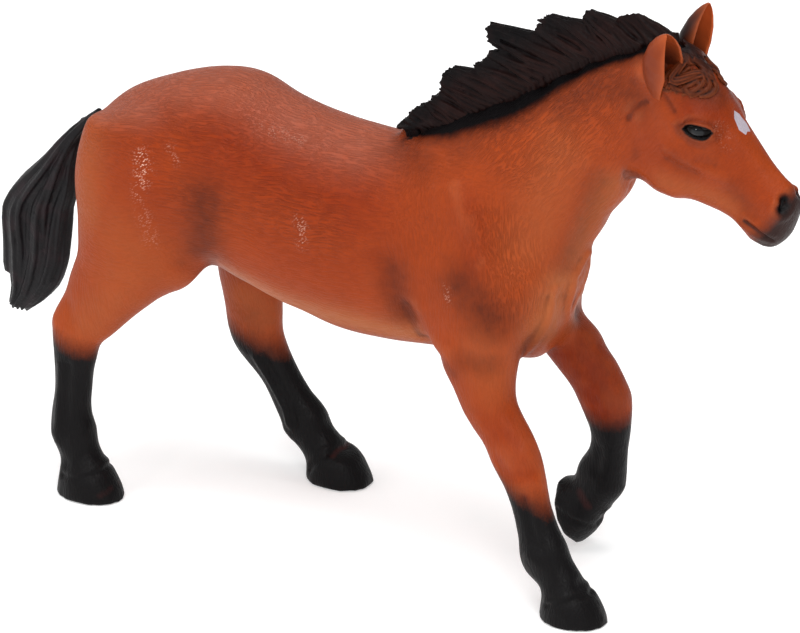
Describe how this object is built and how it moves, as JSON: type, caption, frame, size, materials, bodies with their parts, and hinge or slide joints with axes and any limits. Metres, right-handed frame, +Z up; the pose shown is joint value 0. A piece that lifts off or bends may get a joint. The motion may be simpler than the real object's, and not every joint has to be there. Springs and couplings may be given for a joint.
{
  "type": "toy horse figure",
  "caption": "Small solid plastic figure of a walking bay foal, one foreleg raised, with an upright black mane and a hanging tail.",
  "frame": {"origin": "on the ground plane under the soles of the three standing hooves, under the centre of the figure's box", "axes": "+X forward, from the tail to the muzzle; +Y to the horse's left; +Z up"},
  "size_m": [0.099, 0.0238, 0.0702],
  "materials": {
    "painted_bay": "moulded hair texture, satin paint in red brown that fades to black on the lower legs",
    "painted_black": "moulded strands, satin black paint"
  },
  "bodies": {
    "root": {"torso": "painted_bay", "head_and_neck": "painted_bay", "right_hind_leg": "painted_bay", "left_hind_leg": "painted_bay", "right_foreleg": "painted_bay", "left_foreleg": "painted_bay", "right_ear": "painted_bay", "left_ear": "painted_bay", "mane": "painted_black", "forelock": "painted_black", "tail": "painted_black"}
  },
  "joints": []
}
